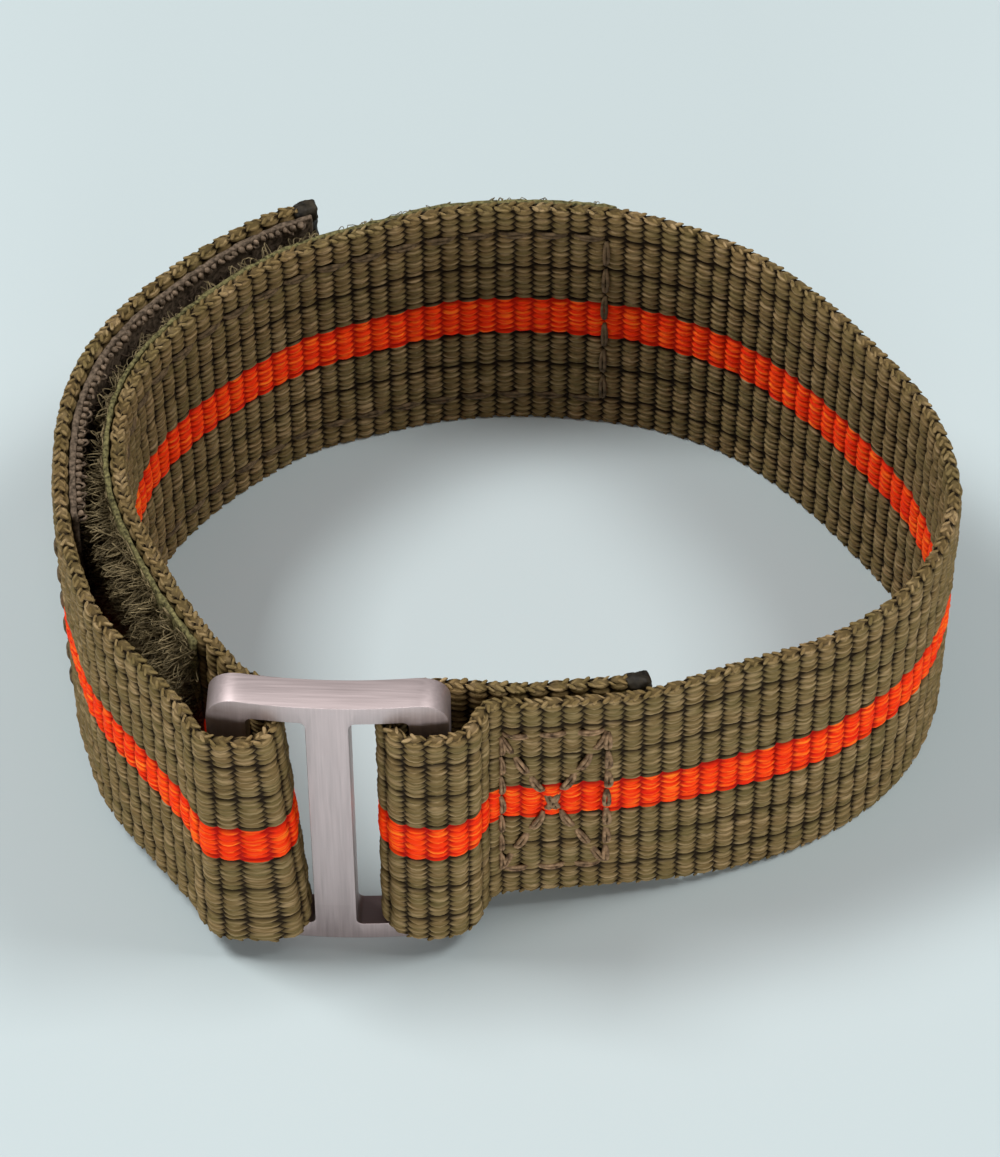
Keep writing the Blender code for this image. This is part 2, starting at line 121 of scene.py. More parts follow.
route = {
    "points": (
        (9.37, -16.83), (6.59, -17.41), (3.79, -17.97), (0.87, -18.58), (-1.9, -19.16),
        (-4.67, -19.38), (-5.34, -19.56), (-5.91, -19.95), (-6.32, -20.5), (-6.54, -21.16),
        (-6.54, -21.85), (-6.32, -22.51), (-5.9, -23.06), (-5.33, -23.45), (-3.97, -23.67),
        (-2.61, -23.43), (-1.97, -23.15), (-1.46, -22.69), (-0.15, -20.24), (2.56, -19.51),
        (5.31, -18.99), (8.06, -18.44), (10.8, -17.83), (13.49, -17.04), (16.1, -16.04),
        (18.64, -14.85), (21.04, -13.4), (23.24, -11.66), (25.16, -9.63), (26.68, -7.28),
        (27.74, -4.68), (28.29, -1.94), (28.16, 0.85), (27.55, 3.59), (26.53, 6.2), (25.04, 8.57),
        (23.37, 10.82), (21.67, 13.05), (19.79, 15.13), (17.79, 17.09), (15.59, 18.83), (13.15, 20.21),
        (10.53, 21.2), (7.82, 21.89), (5.04, 22.26), (2.24, 22.45), (-0.56, 22.39), (-3.35, 22.09),
        (-6.09, 21.52), (-8.75, 20.65), (-11.4, 19.72), (-13.96, 18.59), (-16.24, 16.96),
        (-18.34, 15.1), (-20.26, 13.06), (-21.98, 10.85), (-23.39, 8.43), (-24.31, 5.79),
        (-24.67, 3.01), (-24.58, 0.21), (-24.17, -2.56), (-23.37, -5.24), (-22.23, -7.8),
        (-21, -10.32), (-19.68, -12.8), (-18.18, -15.16), (-16.5, -17.41), (-15.64, -18.5),
        (-14.46, -19.24), (-13.88, -19.62), (-13.48, -20.19), (-13.17, -22.25), (-13.22, -22.94),
        (-13.54, -23.56), (-14.09, -23.98), (-15.47, -24.15), (-16.85, -23.98), (-17.45, -23.64),
        (-18.57, -21.87), (-20.29, -19.67), (-22.07, -17.52), (-23.81, -15.33), (-25.27, -12.96),
        (-26.23, -10.34), (-27.1, -7.68), (-27.68, -4.95), (-28.05, -2.18), (-28.26, 0.6),
        (-28.3, 3.39), (-27.95, 6.16), (-27.17, 8.84), (-25.98, 11.37), (-24.43, 13.69),
        (-22.66, 15.85), (-20.73, 17.87), (-18.64, 19.73), (-16.38, 21.36), (-13.88, 22.61),
        (-13.26, 22.92),
    ),
    "boxFrom": 27.30,
    "boxTo": 34.06,
    "innerBoxFrom": 2.84,
    "innerBoxTo": 9.42,
    "loopTapeFrom": 98.25,
    "loopTapeTo": 159.57,
    "rootHinge": 175.96,
    "middleHinge": 190.63,
    "hookTapeFrom": 194.12,
    "tipHinge": 211.58,
    "hookTapeTo": 228.44,
    "end": 229.04,
    "meltedLength": 1.4,
}

# How the strap stands, in metres: it climbs to the buckle, and leans a little in front and behind.
# A lean is given as pairs, the place across the loop from -1 to 1 and how far it leans from there on.

stance = {
    "lift": 0.0017,
    "climbStart": 0.034,
    "climbEnd": 0.008,
    "middle": (-0.000294, -0.001163),
    "halfWidth": 0.029,
    "frontLean": ((-0.10, 0.0), (0.10, -0.050), (0.26, -0.050), (0.55, 0.015), (0.95, 0.0)),
    "backLean": ((-0.43, 0.0), (-0.12, 0.025), (0.22, 0.025), (0.50, 0.006), (0.95, 0.0)),
    "foldFrom": (-0.0160, -0.0135),
    "foldTo": -0.0105,
    "foldBack": -0.0180,
    "foldLean": 0.0012,
}


def drawRoute():
    bpy.ops.curve.primitive_bezier_curve_add(location=(0, 0, 0))
    line = bpy.context.object
    line.name = "routeLine"
    line.data.dimensions = "2D"
    line.data.resolution_u = 10
    line.data.use_path = True
    spline = line.data.splines[0]
    spline.bezier_points.add(len(route["points"]) - 2)
    for knot, (x, y) in zip(spline.bezier_points, route["points"]):
        knot.co = (x * mm, y * mm, 0.0)
        knot.handle_left_type = "AUTO"
        knot.handle_right_type = "AUTO"
    bpy.context.view_layer.update()
    print("route length:", round(sum(s.calc_length() for s in line.data.splines) / mm, 2), "mm")
    return line


def leanAt(across, table):  # eases from each pair of the table to the next
    lean = np.full_like(across, table[0][1])
    for (start, before), (end, after) in zip(table, table[1:]):
        lean += (after - before) * eased((across - start) / (end - start))
    return lean


def settle(thing):  # from the floor to how the strap really stands
    co = places(thing)
    away = np.hypot(co[:, 0] - buckle["middle"][0] * mm, co[:, 1] - buckle["middle"][1] * mm)
    climb = (away - stance["climbEnd"]) / (stance["climbStart"] - stance["climbEnd"])
    across = (co[:, 0] - stance["middle"][0]) / stance["halfWidth"]
    front = co[:, 1] - stance["middle"][1] < 0.0
    lean = np.where(front, leanAt(across, stance["frontLean"]), leanAt(across, stance["backLean"]))
    foldLow, foldHigh = stance["foldFrom"]   # the left fold narrows towards the floor
    fold = eased((co[:, 0] - foldLow) / (foldHigh - foldLow))
    fold *= (co[:, 0] < stance["foldTo"]) * (co[:, 1] < stance["foldBack"])
    co[:, 0] += fold * stance["foldLean"] * (1.0 - co[:, 2] / (webbing["width"] * mm))
    co[:, 1] += lean * co[:, 2]
    co[:, 2] += stance["lift"] * (1.0 - eased(climb))
    setPlaces(thing, co)


def layOnRoute(thing):  # a piece made flat: x along the strap, y to its left, z its height
    follow = thing.modifiers.new("follow", "CURVE")
    follow.object = routeLine
    follow.deform_axis = "POS_X"
    applyAll(thing)
    settle(thing)


def routePlace(distance):  # where a place on the strap's lower edge comes to be
    bpy.ops.mesh.primitive_plane_add(size=1e-5)
    probe = bpy.context.object
    setPlaces(probe, places(probe) * 0.0 + (distance * mm, 0.0, 0.0))
    layOnRoute(probe)
    found = tuple(float(v) for v in places(probe)[0])
    bpy.data.objects.remove(probe, do_unlink=True)
    return found


# Materials

black, white = (0.0, 0.0, 0.0), (1.0, 1.0, 1.0)


def newMaterial(name):
    material = bpy.data.materials.new(name)
    material.use_nodes = True
    return material, material.node_tree, material.node_tree.nodes["Principled BSDF"]


def node(tree, kind, **settings):  # a setting is the node's own, or else the value of a socket
    made = tree.nodes.new(kind)
    for key, value in settings.items():
        if hasattr(made, key):
            setattr(made, key, value)
        else:
            made.inputs[key].default_value = value
    return made


def noiseOn(tree, source, scale, size, detail=2.0):  # noise on a stretched pattern
    stretch = node(tree, "ShaderNodeMapping", Scale=scale)
    tree.links.new(source, stretch.inputs["Vector"])
    noise = node(tree, "ShaderNodeTexNoise", Scale=size, Detail=detail)
    tree.links.new(stretch.outputs["Vector"], noise.inputs["Vector"])
    return noise.outputs["Fac"]


def ramp(tree, source, stops):  # the two outer stops come first
    made = tree.nodes.new("ShaderNodeValToRGB")
    for k, (place, colour) in enumerate(stops):
        stop = made.color_ramp.elements[k] if k < 2 else made.color_ramp.elements.new(place)
        stop.position = place
        stop.color = (*colour, 1.0)
    tree.links.new(source, made.inputs["Fac"])
    return made.outputs["Color"]


def bumpOn(tree, shader, source, strength, distance):
    bump = node(tree, "ShaderNodeBump", Strength=strength, Distance=distance)
    tree.links.new(source, bump.inputs["Height"])
    tree.links.new(bump.outputs["Normal"], shader.inputs["Normal"])


def mixed(tree, how, amount, first, second):
    made = tree.nodes.new("ShaderNodeMix")
    made.data_type = "RGBA"
    made.blend_type = how
    for socket, value in ((made.inputs[0], amount), (made.inputs[6], first), (made.inputs[7], second)):
        if isinstance(value, (int, float)):
            socket.default_value = value
        elif isinstance(value, tuple):
            socket.default_value = (*value, 1.0)
        else:
            tree.links.new(value, socket)
    return made.outputs[2]


nylon = {
    # each dye's dark colour is painted shade, taken by the weave where it lies deep
    "olive": {"dark": (0.016, 0.009, 0.003), "low": (0.124, 0.081, 0.029), "mid": (0.208, 0.137, 0.055),
              "high": (0.400, 0.278, 0.142), "green": (0.120, 0.106, 0.035)},
    "orange": {"dark": (0.300, 0.001, 0.001), "low": (0.700, 0.010, 0.001), "mid": (0.900, 0.052, 0.002),
               "high": (1.000, 0.250, 0.018), "green": (0.720, 0.010, 0.001)},
    # a painted glow on the orange, to lift it where it lies in shade
    "paintedGlowColour": (1.0, 0.03, 0.0, 1.0),
    "orangePaintedGlow": 0.10,
    "yarns": ((1.6, 19.0, 1.0), 3.0),
    "yarnStops": (0.30, 0.50, 0.70),
    "patches": ((1.0, 3.0, 1.0), 2.2),
    "patchStops": (0.36, 0.66),
    "patchShare": 0.40,
    # where the painted shade of the deep places begins and where it is full
    "hollowShadeStops": (0.34, 0.74),
    "filaments": ((2.0, 60.0, 1.0), 9.0, 3.0),
    "bump": (0.55, 0.00008),
    "roughness": 0.60,
    "specular": 0.10,
}


def nylonMaterial(name, colours, paintedGlow):  # the orange gets a painted glow, which lifts it where it lies in shade
    material, tree, shader = newMaterial(name)
    pattern = node(tree, "ShaderNodeUVMap", uv_map="weave").outputs["UV"]
    low, middle, high = nylon["yarnStops"]
    base = ramp(tree, noiseOn(tree, pattern, *nylon["yarns"]),
                ((low, colours["low"]), (high, colours["high"]), (middle, colours["mid"])))
    low, high = nylon["patchStops"]
    tint = ramp(tree, noiseOn(tree, pattern, *nylon["patches"]), ((low, black), (high, white)))
    greener = mixed(tree, "MIX", nylon["patchShare"], base, colours["green"])
    base = mixed(tree, "MIX", tint, base, greener)
    # painted shade: the deeper a place of the weave lies, the more its colour goes to the dark shade
    # colour
    hollowShade = node(tree, "ShaderNodeAttribute", attribute_name="hollowShade").outputs["Fac"]
    low, high = nylon["hollowShadeStops"]
    depth = ramp(tree, hollowShade, ((low, black), (high, white)))
    base = mixed(tree, "MIX", depth, base, colours["dark"])
    tree.links.new(base, shader.inputs["Base Color"])
    bumpOn(tree, shader, noiseOn(tree, pattern, *nylon["filaments"]), *nylon["bump"])
    shader.inputs["Roughness"].default_value = nylon["roughness"]
    shader.inputs["Specular IOR Level"].default_value = nylon["specular"]
    shader.inputs["Emission Color"].default_value = nylon["paintedGlowColour"]
    shader.inputs["Emission Strength"].default_value = paintedGlow
    return material


# The other fibres: dark and light colour, how fine the spots are, and roughness

fibreLooks = {
    "tanThread": ((0.055, 0.028, 0.012), (0.350, 0.218, 0.118), 2400.0, 0.60),
    "brownThread": ((0.050, 0.032, 0.014), (0.180, 0.120, 0.062), 2400.0, 0.65),
    "pileNylon": ((0.050, 0.036, 0.014), (0.310, 0.240, 0.125), 1100.0, 0.50),
    "loopGround": ((0.026, 0.023, 0.007), (0.225, 0.198, 0.082), 4200.0, 0.80),
    "hookGround": ((0.036, 0.025, 0.015), (0.185, 0.134, 0.092), 3800.0, 0.70),
    "hookNylon": ((0.036, 0.024, 0.014), (0.245, 0.174, 0.116), 2300.0, 0.50),
    "meltedNylon": ((0.005, 0.004, 0.003), (0.042, 0.034, 0.022), 1300.0, 0.50),
}

fibreSurface = {
    "stops": (0.32, 0.68),
    "detail": 3.0,
    "bumpFiner": 6.0,
    "bump": (0.5, 0.00006),
    "specular": 0.18,
}


def fibreMaterial(name, dark, light, fineness, roughness):
    material, tree, shader = newMaterial(name)
    here = tree.nodes.new("ShaderNodeTexCoord").outputs["Object"]
    spots = noiseOn(tree, here, (1.0, 1.0, 1.0), fineness, fibreSurface["detail"])
    low, high = fibreSurface["stops"]
    tree.links.new(ramp(tree, spots, ((low, dark), (high, light))), shader.inputs["Base Color"])
    grain = noiseOn(tree, here, (1.0, 1.0, 1.0), fineness * fibreSurface["bumpFiner"])
    bumpOn(tree, shader, grain, *fibreSurface["bump"])
    shader.inputs["Roughness"].default_value = roughness
    shader.inputs["Specular IOR Level"].default_value = fibreSurface["specular"]
    return material


steel = {
    "uprightBrush": ((9000.0, 9000.0, 260.0), 1.0, 4.0),
    "levelBrush": ((240.0, 7000.0, 7000.0), 1.0, 4.0),
    "stops": (0.30, 0.70),
    "tones": ((0.510, 0.428, 0.424), (0.585, 0.496, 0.492)),
    "roughness": ((0.50, 0.50, 0.50), (0.58, 0.58, 0.58)),
    # painted shade at the slots' lower ends: the height below which it lies, and its tone
    "lowEnd": 0.0035,   # metres above the floor
    "slotShadeTone": (0.42, 0.38, 0.38),
    "bump": (0.22, 0.00002),
}


def steelMaterial():
    material, tree, shader = newMaterial("satinSteel")
    here = tree.nodes.new("ShaderNodeTexCoord").outputs["Object"]
    upright = noiseOn(tree, here, *steel["uprightBrush"])
    level = noiseOn(tree, here, *steel["levelBrush"])
    flat = tree.nodes.new("ShaderNodeNewGeometry").outputs["Normal"]
    parts = tree.nodes.new("ShaderNodeSeparateXYZ")
    tree.links.new(flat, parts.inputs[0])
    facingUp = node(tree, "ShaderNodeMath", operation="ABSOLUTE")
    tree.links.new(parts.outputs["Z"], facingUp.inputs[0])
    grain = mixed(tree, "MIX", facingUp.outputs[0], upright, level)
    tone = ramp(tree, grain, tuple(zip(steel["stops"], steel["tones"])))
    place = tree.nodes.new("ShaderNodeSeparateXYZ")
    tree.links.new(here, place.inputs[0])
    low = node(tree, "ShaderNodeMath", operation="LESS_THAN")
    tree.links.new(place.outputs["Z"], low.inputs[0])
    low.inputs[1].default_value = steel["lowEnd"]
    slotShade = node(tree, "ShaderNodeMath", operation="MULTIPLY")   # painted shade: the upward faces at the slots' lower ends are darkened
    tree.links.new(low.outputs[0], slotShade.inputs[0])
    tree.links.new(facingUp.outputs[0], slotShade.inputs[1])
    darker = mixed(tree, "MULTIPLY", 1.0, tone, steel["slotShadeTone"])
    tone = mixed(tree, "MIX", slotShade.outputs[0], tone, darker)
    tree.links.new(tone, shader.inputs["Base Color"])
    rough = ramp(tree, grain, tuple(zip(steel["stops"], steel["roughness"])))
    tree.links.new(rough, shader.inputs["Roughness"])
    bumpOn(tree, shader, grain, *steel["bump"])
    shader.inputs["Metallic"].default_value = 1.0
    return material


# Webbing, in millimetres: a unit two ribs long is modelled flat, repeated, and bent along the route.
# Bands are the seven woven stripes, rows go across the strap, and the drops are below its surface; the
# deep places get painted shade.

webbing = {
    "width": 20.0,
    "halfThickness": 0.575,
    "ribPitch": 1.25,
    "bandEdges": (0.0, 2.25, 5.35, 8.4, 11.6, 14.65, 17.75, 20.0),
    "bandYarns": (4, 6, 6, 6, 6, 6, 4),
    "rowPlaces": (0.0, 0.13, 0.30, 0.50, 0.70, 0.87),
    "ribDepth": 0.33,
    "ribProfile": (1.0, 0.33, 0.07, 0.0, 0.07, 0.33),
    "yarnDepth": 0.165,
    "yarnDepthShares": (0.2, 1.9, 1.05, 0.62, 1.05, 1.9),
    "yarnWave": (0.0, 0.22, 1.0),
    "bandDepth": {-2: 0.08, -1: 0.24, 0: 0.34, 1: 0.08, 2: 0.02},
    "bandShares": (0.1, 0.6, 1.0, 1.1, 1.0, 0.6),
    "deepest": 0.45,
    # painted shade of the deep places: the band borders count for less, and it is full at this drop
    "hollowBorderShare": 0.15,
    "hollowFull": 0.42,
    "zigzag": 0.12,
    "crowning": 0.07,
    "edgeRound": (0.62, 0.88, 0.97),
    "edgeSides": (-0.30, 0.0, 0.30),
    "edgeProud": (-0.03, 0.03, -0.03),
    "edgeRibShare": 0.5,
    # painted shade on the edges: a base amount, and more where the ribs dive
    "edgeShade": (0.50, 0.30),
    "strandSize": (0.35, 0.130, 0.14),
    "strandShade": (0.1, 0.5),
    "strandAngle": 36.0,
    "strandSide": 0.19,
    "strandShifts": ((-1.0, 0.15), (1.0, 0.40)),
    "strandSink": (0.03, 0.12),
    "stripeBand": 3,
    "unevenness": ((1.1, 0.12), (0.4, 0.08)),
    "patternScale": 100.0,
}


def yarnColumns():  # heights of a face's columns, four to a yarn, and the first column of each band
    heights, starts = [], []
    for low, high, count in zip(webbing["bandEdges"], webbing["bandEdges"][1:], webbing["bandYarns"]):
        starts.append(len(heights))
        heights += [low + (high - low) * k / (4 * count) for k in range(4 * count)]
    return heights + [webbing["width"]], starts


def shapeUnit(unit):  # a grid becomes a sleeve: outer face, upper edge, inner face, lower edge
    heights, starts = yarnColumns()
    last = len(heights) - 1
    innerFrom, innerTo = last + 4, 2 * last + 4
    around = innerTo + 4
    perRib = len(webbing["rowPlaces"])
    co = places(unit)
    size = co.max(axis=0) - co.min(axis=0)
    row = np.rint((co[:, 0] - co[:, 0].min()) / size[0] * 2 * perRib).astype(int)
    column = np.rint((co[:, 1] - co[:, 1].min()) / size[1] * around).astype(int) % around
    half = webbing["halfThickness"]
    pitch = webbing["ribPitch"]
    edgeLow, edgeMore = webbing["edgeShade"]
    hollowShade = np.zeros(len(co))
    new = np.zeros_like(co)
    for k, (r, c) in enumerate(zip(row, column)):
        rib, part = divmod(r, perRib)
        along = (rib + webbing["rowPlaces"][part]) * pitch
        ribDrop = webbing["ribDepth"] * webbing["ribProfile"][part]
        onOuter = c <= last
        if onOuter or innerFrom <= c <= innerTo:
            station = c if onOuter else innerTo - c
            shifted = station - 2 * ((rib % 2) ^ int(not onOuter))   # every other rib is half a yarn off
            fromCrown = 2 - abs((shifted + 2) % 4 - 2)
            drop = ribDrop + (webbing["yarnDepth"] * webbing["yarnDepthShares"][part]
                              * webbing["yarnWave"][fromCrown])
            if part == 0:
                along += webbing["zigzag"] * pitch * (fromCrown - 1.0)
            border = sum(webbing["bandDepth"].get(shifted - first, 0.0) for first in starts[1:])
            border *= webbing["bandShares"][part]
            drop += border
            band = max(i for i, first in enumerate(starts) if station >= first)
            low, high = webbing["bandEdges"][band], webbing["bandEdges"][band + 1]
            drop += webbing["crowning"] * (2.0 * (heights[station] - low) / (high - low) - 1.0) ** 2
            drop = min(drop, webbing["deepest"])
            fromEdge = min(station, last - station)
            rounding = webbing["edgeRound"]
            out = (half - drop) * (rounding[fromEdge] if fromEdge < len(rounding) else 1.0)
            new[k] = (along, -out if onOuter else out, heights[station])
            # painted shade, from how deep the place lies
            hollowShade[k] = min(1.0, (drop - webbing["hollowBorderShare"] * border) / webbing["hollowFull"])
        else:
            upper = c < innerFrom
            step = c - last - 1 if upper else c - innerTo - 1
            side = webbing["edgeSides"][step] * (1.0 if upper else -1.0)
            proud = webbing["edgeProud"][step] - webbing["edgeRibShare"] * ribDrop
            new[k] = (along, side, webbing["width"] + proud if upper else -proud)
            # painted shade on the edges, deeper where the ribs dive
            hollowShade[k] = edgeLow + edgeMore * webbing["ribProfile"][part]
    setPlaces(unit, new * mm)
    unit.data.attributes.new("hollowShade", "FLOAT", "POINT").data.foreach_set("value", hollowShade)


def edgeStrand(along, side, height, turn):  # the yarns turn over the edge in slanting pairs
    bpy.ops.mesh.primitive_uv_sphere_add(segments=8, ring_count=6, radius=1.0,
                                         rotation=(0.0, math.radians(90.0), 0.0))
    strand = bpy.context.object
    placeInMesh(strand)
    middle, more = webbing["strandShade"]
    hollowShade = middle + more * np.abs(places(strand)[:, 0]) ** 3   # painted shade, darker towards its ends
    strand.data.attributes.new("hollowShade", "FLOAT", "POINT").data.foreach_set("value", hollowShade)
    strand.scale = [size * mm for size in webbing["strandSize"]]
    strand.rotation_euler.z = math.radians(turn)
    strand.location = (along * mm, side * mm, height * mm)
    placeInMesh(strand)
    return strand


def makeUnit():
    around = 2 * len(yarnColumns()[0]) + 6   # two faces, and three columns on each edge
    bpy.ops.mesh.primitive_grid_add(x_subdivisions=2 * len(webbing["rowPlaces"]), y_subdivisions=around,
                                    size=1.0)
    unit = bpy.context.object
    unit.name = "webbingUnit"
    shapeUnit(unit)
    strands = []
    for k in range(4):   # two pairs to a rib, on both edges
        sink = webbing["strandSink"][k % 2]
        for height in (webbing["width"] - sink, sink):
            for side, shift in webbing["strandShifts"]:
                place = (k / 2.0 + shift) * webbing["ribPitch"]
                strands.append(edgeStrand(place, side * webbing["strandSide"], height,
                                          -side * webbing["strandAngle"]))
    pick(unit, *strands)
    bpy.ops.object.join()
    bpy.ops.object.mode_set(mode="EDIT")
    bpy.ops.mesh.select_all(action="SELECT")
    bpy.ops.mesh.remove_doubles(threshold=1e-7)
    bpy.ops.mesh.normals_make_consistent(inside=False)
    bpy.ops.object.mode_set(mode="OBJECT")
    return unit


def roughen(thing, size, strength):  # small unevenness, the same where two lengths meet
    texture = bpy.data.textures.new(thing.name + "Uneven", "CLOUDS")
    texture.noise_scale = size * mm
    texture.noise_depth = 1
    uneven = thing.modifiers.new("uneven", "DISPLACE")
    uneven.texture = texture
    uneven.texture_coords = "LOCAL"
    uneven.strength = strength * mm
    uneven.mid_level = 0.5


def trimEnds(piece, start, end):  # cut the flat length square where the melted ends begin
    pick(piece)
    bpy.ops.object.mode_set(mode="EDIT")
    for x, away in ((start, -1.0), (end, 1.0)):
        if x is None:
            continue
        bpy.ops.mesh.select_all(action="SELECT")
        bpy.ops.mesh.bisect(plane_co=(x * mm, 0, 0), plane_no=(away, 0, 0), clear_outer=True)
    bpy.ops.object.mode_set(mode="OBJECT")


def closeEnds(piece):
    bpy.ops.object.mode_set(mode="EDIT")
    bpy.ops.mesh.select_all(action="DESELECT")
    bpy.ops.mesh.select_mode(type="EDGE")
    bpy.ops.mesh.select_non_manifold(extend=False, use_wire=False, use_multi_face=False,
                                     use_non_contiguous=False, use_verts=False)
    bpy.ops.mesh.edge_face_add()
    bpy.ops.mesh.select_all(action="SELECT")
    bpy.ops.object.mode_set(mode="OBJECT")


def dyeWeave(piece):  # the pattern's own map, and the two dyes: olive, with the middle band orange
    mesh = piece.data
    corners = np.empty(len(mesh.loops), dtype=np.int32)
    mesh.loops.foreach_get("vertex_index", corners)
    pattern = places(piece)[corners][:, (0, 2)] * webbing["patternScale"]
    mesh.uv_layers[0].name = "weave"
    mesh.uv_layers[0].data.foreach_set("uv", pattern.ravel())
    mesh.materials.clear()
    mesh.materials.append(oliveNylon)
    mesh.materials.append(orangeNylon)
    middles = np.empty(len(mesh.polygons) * 3)
    mesh.polygons.foreach_get("center", middles)
    height = middles.reshape(-1, 3)[:, 2] / mm
    sides = np.empty(len(mesh.polygons), dtype=np.int32)
    mesh.polygons.foreach_get("loop_total", sides)
    low, high = webbing["bandEdges"][webbing["stripeBand"]:webbing["stripeBand"] + 2]
    orange = (height > low) & (height < high) & (sides < 5)   # not the big faces that close the ends
    mesh.polygons.foreach_set("material_index", orange.astype(np.int32))


def weavePiece(name, firstUnit, lastUnit, trimTo):
    length = 2.0 * webbing["ribPitch"]
    pick(webbingUnit)
    bpy.ops.object.duplicate()
    piece = bpy.context.object
    piece.name = name
    piece.location.x = firstUnit * length * mm
    placeInMesh(piece)
    repeat = piece.modifiers.new("repeat", "ARRAY")
    repeat.count = lastUnit - firstUnit
    repeat.use_relative_offset = False
    repeat.use_constant_offset = True
    repeat.constant_offset_displace = (length * mm, 0.0, 0.0)
    repeat.use_merge_vertices = True
    repeat.merge_threshold = 2e-7
    for size, strength in webbing["unevenness"]:
        roughen(piece, size, strength)
    applyAll(piece)
    if trimTo:
        trimEnds(piece, *trimTo)
    closeEnds(piece)
    dyeWeave(piece)
    pick(piece)
    bpy.ops.object.shade_smooth()
    layOnRoute(piece)
    return piece


# The buckle, in millimetres: a thin plate with two slots, its edges rounded, a little bowed

buckle = {
    "middle": (-9.893, -21.749),
    "width": 14.6,
    "height": 23.4,
    "thickness": 2.2,
    "cornerRadius": 2.0,
    "slotWidth": 3.6,
    "slotLow": 1.5,
    "slotHigh": 21.9,
    "slotRadius": 0.45,
    "centreBar": 2.6,
    "bow": 0.66,
    "bowSteps": 24,
    "edgeRound": 0.15,
}


def roundedPlate(name, width, low, high, depth, radius):
    bpy.ops.mesh.primitive_cube_add(size=1.0, location=(0, 0, (low + high) / 2.0 * mm))
    plate = bpy.context.object
    plate.name = name
    plate.scale = (width * mm, depth * mm, (high - low) * mm)
    placeInMesh(plate)
    bpy.ops.object.mode_set(mode="EDIT")
    bpy.ops.mesh.select_all(action="DESELECT")
    bpy.ops.object.mode_set(mode="OBJECT")
    for edge in plate.data.edges:
        a, b = (plate.data.vertices[v].co for v in edge.vertices)
        edge.select = abs(a.y - b.y) > depth * mm / 2.0
    bpy.ops.object.mode_set(mode="EDIT")
    bpy.ops.mesh.select_mode(type="EDGE")
    bpy.ops.mesh.bevel(offset=radius * mm, segments=8, affect="EDGES")
    bpy.ops.object.mode_set(mode="OBJECT")
    return plate


def makeBuckle():
    plate = roundedPlate("buckle", buckle["width"], 0.0, buckle["height"], buckle["thickness"],
                         buckle["cornerRadius"])
    away = (buckle["centreBar"] + buckle["slotWidth"]) / 2.0
    for side in (-1, 1):
        cutter = roundedPlate("slotCutter", buckle["slotWidth"], buckle["slotLow"], buckle["slotHigh"],
                              3.0 * buckle["thickness"], buckle["slotRadius"])
        cutter.location.x = side * away * mm
        placeInMesh(cutter)
        cut = plate.modifiers.new("slot", "BOOLEAN")
        cut.operation = "DIFFERENCE"
        cut.solver = "EXACT"
        cut.object = cutter
        applyAll(plate)
        bpy.data.objects.remove(cutter, do_unlink=True)
    pick(plate)
    bpy.ops.object.mode_set(mode="EDIT")
    for k in range(1, buckle["bowSteps"]):  # upright cuts, so that the plate can be bowed
        x = (k / buckle["bowSteps"] - 0.5) * buckle["width"]
        bpy.ops.mesh.select_all(action="SELECT")
        bpy.ops.mesh.bisect(plane_co=(x * mm, 0, 0), plane_no=(1, 0, 0))
    bpy.ops.mesh.select_all(action="SELECT")
    bpy.ops.mesh.remove_doubles(threshold=2e-6)
    bpy.ops.object.mode_set(mode="OBJECT")
    rounded = plate.modifiers.new("rounded edges", "BEVEL")
    rounded.width = buckle["edgeRound"] * mm
    rounded.segments = 4
    rounded.limit_method = "ANGLE"
    rounded.angle_limit = math.radians(50)
    applyAll(plate)
    co = places(plate)
    co[:, 1] += buckle["bow"] * mm * (co[:, 0] / (buckle["width"] * mm / 2.0)) ** 2
    co += np.array((buckle["middle"][0] * mm, buckle["middle"][1] * mm, 0.0))
    setPlaces(plate, co)
    pick(plate)
    bpy.ops.object.shade_smooth_by_angle(angle=math.radians(38))
    plate.data.materials.append(satinSteel)
    return plate


# Sewing, in millimetres: each stitch is two strands side by side, which dive in at both ends

sewing = {
    "radius": 0.138,
    "apart": 0.150,
    "apartSpread": (0.85, 1.25),
    "wobble": 0.06,
    "steps": 8,
    "length": 2.15,
    "tapeLength": 2.4725,
    "gap": 0.17,
    "rise": 0.12,
    "dive": 0.20,
    "boxLow": 2.86,
    "boxHigh": 17.14,
    "rowLow": 2.30,
    "rowHigh": 17.70,
    "rowSink": 0.20,
}


def stitchLine(start, end, length):  # the stitches from one place to another, as pairs of places
    whole = math.dist(start, end)
    count = max(1, round(whole / length))
    halfGap = sewing["gap"] / 2.0
    found = []
    for k in range(count):
        ends = ((k + part) / count for part in (halfGap, 1.0 - halfGap))
        found.append(tuple(tuple(p + (q - p) * t for p, q in zip(start, end)) for t in ends))
    return found


